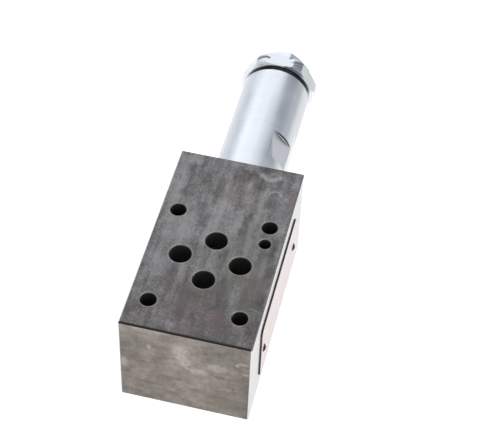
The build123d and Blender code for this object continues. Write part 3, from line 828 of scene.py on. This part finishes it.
def make_materials():
    """One material for each slot of the record."""
    return {
        "block_metal": block_metal(),
        "zinc_plate": turned_metal(
            "zinc_plate", dark=(0.71, 0.745, 0.79), light=(0.82, 0.850, 0.89),
            roughness=0.40, ring_size=0.35, height_mm=0.006, marks=zinc_marks),
        "inner_steel": turned_metal(
            "inner_steel", dark=(0.40, 0.40, 0.41), light=(0.56, 0.56, 0.57),
            roughness=0.28, ring_size=0.3, height_mm=0.006),
        "spring_steel": turned_metal(
            "spring_steel", dark=(0.14, 0.14, 0.15), light=(0.24, 0.24, 0.25),
            roughness=0.36, ring_size=0.4, height_mm=0.008),
        "seal_rubber": seal_rubber(),
        "backup_plastic": backup_plastic(),
        "label_metal": label_metal(),
        "rivet_metal": rivet_metal(),
    }


def paint_nodes(materials):
    """Gives each CAD node the material of its slot in the record."""
    for part in frame["record"]["subparts"]:
        mesh = nodes[part["node"]].data
        mesh.materials.clear()
        mesh.materials.append(materials[part["material_slot"]])


def place_object(name, data):
    """A new object of the scene, made from its data."""
    made = bpy.data.objects.new(name, data)
    bpy.context.scene.collection.objects.link(made)
    return made


def round_row(radius):
    """Radii of a round row of points."""
    return [radius] * steps_round


def hexagon_row(width):
    """Radii of a row on a hexagon with a flat on top, given its width across flats."""
    sixth = pi / 3
    turns = [2 * pi * step / steps_round for step in range(steps_round)]
    return [width / 2 / cos((turn + sixth / 2) % sixth - sixth / 2) for turn in turns]


def thread_row(place, largest):
    """Radii round a right-hand thread at one place along it, none above the largest."""
    radii = []
    for step in range(steps_round):
        share = (place / thread_pitch - step / steps_round) % 1.0
        height = min(1.0, max(0.0, flank_rise * abs(2 * share - 1) - root_cut))
        radii.append(min(largest, crest_radius - thread_depth * (1 - height)))
    return radii


def screw_rows():
    """Rows of the adjusting screw from its nose to its socket's drilled point: places along X, and radii."""
    low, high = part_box("adjusting_screw")
    start, end = low[0], high[0]
    groove = start + seal_groove_lead
    groove_end = groove + seal_groove_width
    rows = [
        (start, round_row(0.0)),
        (start, round_row(nose_radius - screw_chamfer / 2)),
        (start + screw_chamfer / 2, round_row(nose_radius)),
        (groove, round_row(nose_radius)),
        (groove, round_row(seal_groove_radius)),
        (groove_end, round_row(seal_groove_radius)),
        (groove_end, round_row(nose_radius)),
        (start + thread_lead, round_row(nose_radius)),
    ]
    spacing = thread_pitch / rows_per_pitch
    count = int((end - start - thread_lead) / spacing)
    for index in range(1, count):
        place = start + thread_lead + index * spacing
        largest = crest_radius - max(0.0, place - (end - screw_chamfer))
        rows.append((place, thread_row(place, largest)))
    floor = end - socket_depth
    drill_radius = socket_width / 2
    rows += [
        (end, thread_row(end, crest_radius - screw_chamfer)),
        (end, hexagon_row(socket_width + 2 * socket_chamfer)),
        (end - socket_chamfer, hexagon_row(socket_width)),
        (floor, hexagon_row(socket_width)),
        (floor, round_row(drill_radius)),
        (floor - drill_radius * tan(drill_point), round_row(0.0)),
    ]
    return rows, (low + high) / 2


def solid_piece(name, shape, material):
    """An object from a closed shape: welded, its faces turned outwards, its steep edges sharp."""
    bmesh.ops.remove_doubles(shape, verts=shape.verts, dist=weld_distance)
    bmesh.ops.recalc_face_normals(shape, faces=shape.faces)
    mesh = bpy.data.meshes.new(name)
    shape.to_mesh(mesh)
    shape.free()
    mesh.shade_smooth()
    mesh.set_sharp_from_angle(angle=sharp_angle)
    mesh.materials.append(material)
    return place_object(name, mesh)


def threaded_screw(materials):
    """The adjusting screw with its real thread, in place of the node that has a plain one."""
    rows, middle = screw_rows()
    shape = bmesh.new()
    previous = None
    for place, radii in rows:
        points = []
        for step, radius in enumerate(radii):
            turn = 2 * pi * step / steps_round
            corner = (place, middle[1] - radius * sin(turn), middle[2] + radius * cos(turn))
            points.append(shape.verts.new(corner))
        if previous:
            for step in range(steps_round):
                after = (step + 1) % steps_round
                shape.faces.new((previous[step], points[step], points[after], previous[after]))
        previous = points
    screw = solid_piece("threaded_screw", shape, materials["zinc_plate"])
    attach(screw, "adjusting_screw")
    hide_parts("adjusting_screw")


def spring_part(name, cut, side, materials):
    """The part of the control spring on one side of a cut across it."""
    shape = bmesh.new()
    shape.from_mesh(nodes["control_spring"].data)
    bmesh.ops.remove_doubles(shape, verts=shape.verts, dist=weld_distance)
    geometry = shape.verts[:] + shape.edges[:] + shape.faces[:]
    made = bmesh.ops.bisect_plane(shape, geom=geometry, plane_co=cut, plane_no=(side, 0, 0), clear_outer=True)
    rim = [part for part in made["geom_cut"] if isinstance(part, bmesh.types.BMEdge)]
    bmesh.ops.contextual_create(shape, geom=rim)
    part = solid_piece(name, shape, materials["spring_steel"])
    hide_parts("control_spring")
    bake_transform(part)


def flexible_spring(materials):
    """The control spring, cut across into two parts."""
    low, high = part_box("control_spring")
    cut = Vector((low[0] + spring_front_length, low[1], low[2]))
    spring_part("control_spring_front", cut, 1, materials)
    spring_part("control_spring_rear", cut, -1, materials)


def make_camera():
    """The camera where the photograph was taken from."""
    data = bpy.data.cameras.new("photo_camera")
    data.sensor_width = sensor_width
    data.lens = focal_pixels / image_width * sensor_width
    data.clip_start = camera_near
    data.clip_end = camera_far
    camera = place_object("photo_camera", data)
    camera.location = camera_place
    camera.rotation_euler = Euler([radians(a) for a in (camera_tilt, camera_roll, camera_heading)], "XYZ")
    bpy.context.scene.camera = camera


def softbox(name, azimuth, elevation, width, height, radiance):
    """A large area light that faces the middle of the object."""
    target = (cad_low + cad_high) / 2
    a = radians(azimuth)
    e = radians(elevation)
    direction = Vector((cos(a) * cos(e), sin(a) * cos(e), sin(e)))
    data = bpy.data.lights.new(name, "AREA")
    data.shape = "RECTANGLE"
    data.size = width
    data.size_y = height
    data.energy = radiance * pi * width * height
    light = place_object(name, data)
    light.location = target + direction * lamp_distance
    light.rotation_mode = "QUATERNION"
    light.rotation_quaternion = (-direction).to_track_quat("-Z", "Y")


def floor_material():
    """White to the camera and to metal, so that only the object's shadow shows on it."""
    material = bpy.data.materials.new("floor")
    material.use_nodes = True
    tree = material.node_tree
    surface = tree.nodes["Principled BSDF"]
    surface.inputs["Base Color"].default_value = (floor_grey, floor_grey, floor_grey, 1.0)
    surface.inputs["Roughness"].default_value = floor_roughness
    surface.inputs["Specular IOR Level"].default_value = 0.0
    path = tree.nodes.new("ShaderNodeLightPath")
    seen = path.outputs["Is Camera Ray"]
    for ray in ("Is Glossy Ray", "Is Transmission Ray"):
        either = tree.nodes.new("ShaderNodeMath")
        either.operation = "MAXIMUM"
        tree.links.new(seen, either.inputs[0])
        tree.links.new(path.outputs[ray], either.inputs[1])
        seen = either.outputs["Value"]
    lift = tree.nodes.new("ShaderNodeMapRange")
    lift.inputs["To Min"].default_value = floor_lift_mirrored
    lift.inputs["To Max"].default_value = floor_lift_seen
    tree.links.new(path.outputs["Is Camera Ray"], lift.inputs["Value"])
    glow = tree.nodes.new("ShaderNodeMath")
    glow.operation = "MULTIPLY"
    tree.links.new(lift.outputs["Result"], glow.inputs[0])
    tree.links.new(seen, glow.inputs[1])
    surface.inputs["Emission Color"].default_value = (1.0, 1.0, 1.0, 1.0)
    tree.links.new(glow.outputs["Value"], surface.inputs["Emission Strength"])
    return material


def make_floor():
    """Plain pale floor under the object."""
    mesh = bpy.data.meshes.new("floor")
    corners = [(-1, -1), (1, -1), (1, 1), (-1, 1)]
    points = [(a * floor_half_size, b * floor_half_size, 0.0) for a, b in corners]
    mesh.from_pydata(points, [], [(0, 1, 2, 3)])
    mesh.materials.append(floor_material())
    place_object("floor", mesh)


def make_studio():
    """Pale surroundings, four softboxes and the floor."""
    world = bpy.data.worlds.new("studio")
    world.use_nodes = True
    background = world.node_tree.nodes["Background"]
    background.inputs["Color"].default_value = (*world_colour, 1.0)
    background.inputs["Strength"].default_value = world_level
    bpy.context.scene.world = world
    for name, settings in softboxes.items():
        softbox(name, *settings)
    make_floor()


finishes = make_materials()
paint_nodes(finishes)
threaded_screw(finishes)
flexible_spring(finishes)
make_studio()
make_camera()
bpy.context.scene.view_settings.view_transform = "Standard"
